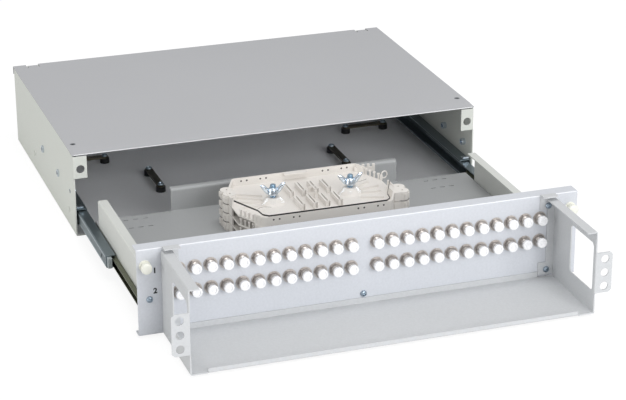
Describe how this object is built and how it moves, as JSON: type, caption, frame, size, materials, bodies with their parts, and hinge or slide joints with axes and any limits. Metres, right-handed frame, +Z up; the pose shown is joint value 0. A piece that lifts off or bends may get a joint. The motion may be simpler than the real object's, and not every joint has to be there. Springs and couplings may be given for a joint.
{
  "type": "rack fibre patch panel",
  "caption": "Two-unit sliding fibre patch panel for a rack, with adapters in its drawer front, splice trays on the drawer and a patch cord trough, drawer pulled out.",
  "frame": {"origin": "on the base plane, in the middle of the housing's front edge", "axes": "+X along the width to the right seen from the front, +Y to the back of the rack, +Z up"},
  "size_m": [0.4382, 0.644, 0.0892],
  "materials": {
    "coat_cover": "matte fine texture",
    "coat_body": "matte fine texture",
    "coat_panel": "matte fine texture",
    "dark_zinc": "satin",
    "zinc": "satin",
    "cage_black": "matte",
    "bumper_grey": "satin",
    "adapter_metal": "satin",
    "cap_white": "gloss",
    "latch_cream": "satin",
    "tray_white": "satin",
    "lid_clear": "clear",
    "rubber_black": "matte",
    "clamp_bar": "satin"
  },
  "bodies": {
    "housing": {"cable_clamp_front_left": "clamp_bar", "cable_clamp_front_right": "clamp_bar", "cable_clamp_rear_left": "clamp_bar", "cable_clamp_rear_right": "clamp_bar", "cable_grommets": "rubber_black", "clamp_posts": "rubber_black", "clamp_screws": "zinc", "cover_screws": "zinc", "housing_body": "coat_body", "side_inserts": "zinc", "slide_outer_left": "dark_zinc", "slide_outer_right": "dark_zinc", "slide_rivets": "zinc", "slide_stop_left": "zinc", "slide_stop_right": "zinc", "top_cover": "coat_cover"},
    "drawer": {"adapters_lower_row": "adapter_metal", "adapters_upper_row": "adapter_metal", "drawer_rivets": "zinc", "drawer_side_left": "coat_body", "drawer_side_right": "coat_body", "drawer_tray": "coat_panel", "dust_caps_lower_row": "cap_white", "dust_caps_upper_row": "cap_white", "front_panel": "coat_panel", "latch_grommet_left": "latch_cream", "latch_grommet_right": "latch_cream", "panel_screws": "zinc", "patch_trough": "coat_panel", "slide_inner_left": "dark_zinc", "slide_inner_right": "dark_zinc", "splice_lid": "lid_clear", "splice_tray_1": "tray_white", "splice_tray_2": "tray_white", "splice_tray_3": "tray_white", "splice_tray_4": "tray_white", "stud_left": "zinc", "stud_right": "zinc", "trough_screws": "zinc"},
    "middle_left": {"middle_bumper_left": "bumper_grey", "slide_middle_left": "dark_zinc"},
    "middle_right": {"middle_bumper_right": "bumper_grey", "slide_middle_right": "dark_zinc"},
    "outer_cage_left": {"outer_cage_left": "cage_black"},
    "outer_cage_right": {"outer_cage_right": "cage_black"},
    "inner_cage_left": {"inner_cage_left": "cage_black"},
    "inner_cage_right": {"inner_cage_right": "cage_black"},
    "latch_left": {"latch_plunger_left": "latch_cream"},
    "latch_right": {"latch_plunger_right": "latch_cream"},
    "wing_nut_left": {"wing_nut_left": "zinc"},
    "wing_nut_right": {"wing_nut_right": "zinc"}
  },
  "joints": [
    {"name": "drawer_slide", "type": "slide", "parent": "housing", "child": "drawer", "axis": [0, 1, 0], "range_m": [0, 0.2395]},
    {"name": "middle_left_slide", "type": "slide", "parent": "housing", "child": "middle_left", "axis": [0, 1, 0], "range_m": [0, 0.11975]},
    {"name": "outer_cage_left_slide", "type": "slide", "parent": "housing", "child": "outer_cage_left", "axis": [0, 1, 0], "range_m": [0, 0.05987]},
    {"name": "inner_cage_left_slide", "type": "slide", "parent": "housing", "child": "inner_cage_left", "axis": [0, 1, 0], "range_m": [0, 0.17963]},
    {"name": "latch_left_push", "type": "slide", "parent": "drawer", "child": "latch_left", "axis": [0, 1, 0], "range_m": [0, 0.005]},
    {"name": "wing_nut_left_turn", "type": "hinge", "parent": "drawer", "child": "wing_nut_left", "pos_m": [-0.0405, -0.104, 0.062], "axis": [0, 0, 1], "continuous": true},
    {"name": "middle_right_slide", "type": "slide", "parent": "housing", "child": "middle_right", "axis": [0, 1, 0], "range_m": [0, 0.11975]},
    {"name": "outer_cage_right_slide", "type": "slide", "parent": "housing", "child": "outer_cage_right", "axis": [0, 1, 0], "range_m": [0, 0.05987]},
    {"name": "inner_cage_right_slide", "type": "slide", "parent": "housing", "child": "inner_cage_right", "axis": [0, 1, 0], "range_m": [0, 0.17963]},
    {"name": "latch_right_push", "type": "slide", "parent": "drawer", "child": "latch_right", "axis": [0, 1, 0], "range_m": [0, 0.005]},
    {"name": "wing_nut_right_turn", "type": "hinge", "parent": "drawer", "child": "wing_nut_right", "pos_m": [0.0405, -0.104, 0.062], "axis": [0, 0, 1], "continuous": true}
  ],
  "couplings": [
    {"joint": "middle_left_slide", "follows": "drawer_slide", "ratio": 0.5},
    {"joint": "outer_cage_left_slide", "follows": "drawer_slide", "ratio": 0.25},
    {"joint": "inner_cage_left_slide", "follows": "drawer_slide", "ratio": 0.75},
    {"joint": "middle_right_slide", "follows": "drawer_slide", "ratio": 0.5},
    {"joint": "outer_cage_right_slide", "follows": "drawer_slide", "ratio": 0.25},
    {"joint": "inner_cage_right_slide", "follows": "drawer_slide", "ratio": 0.75}
  ]
}
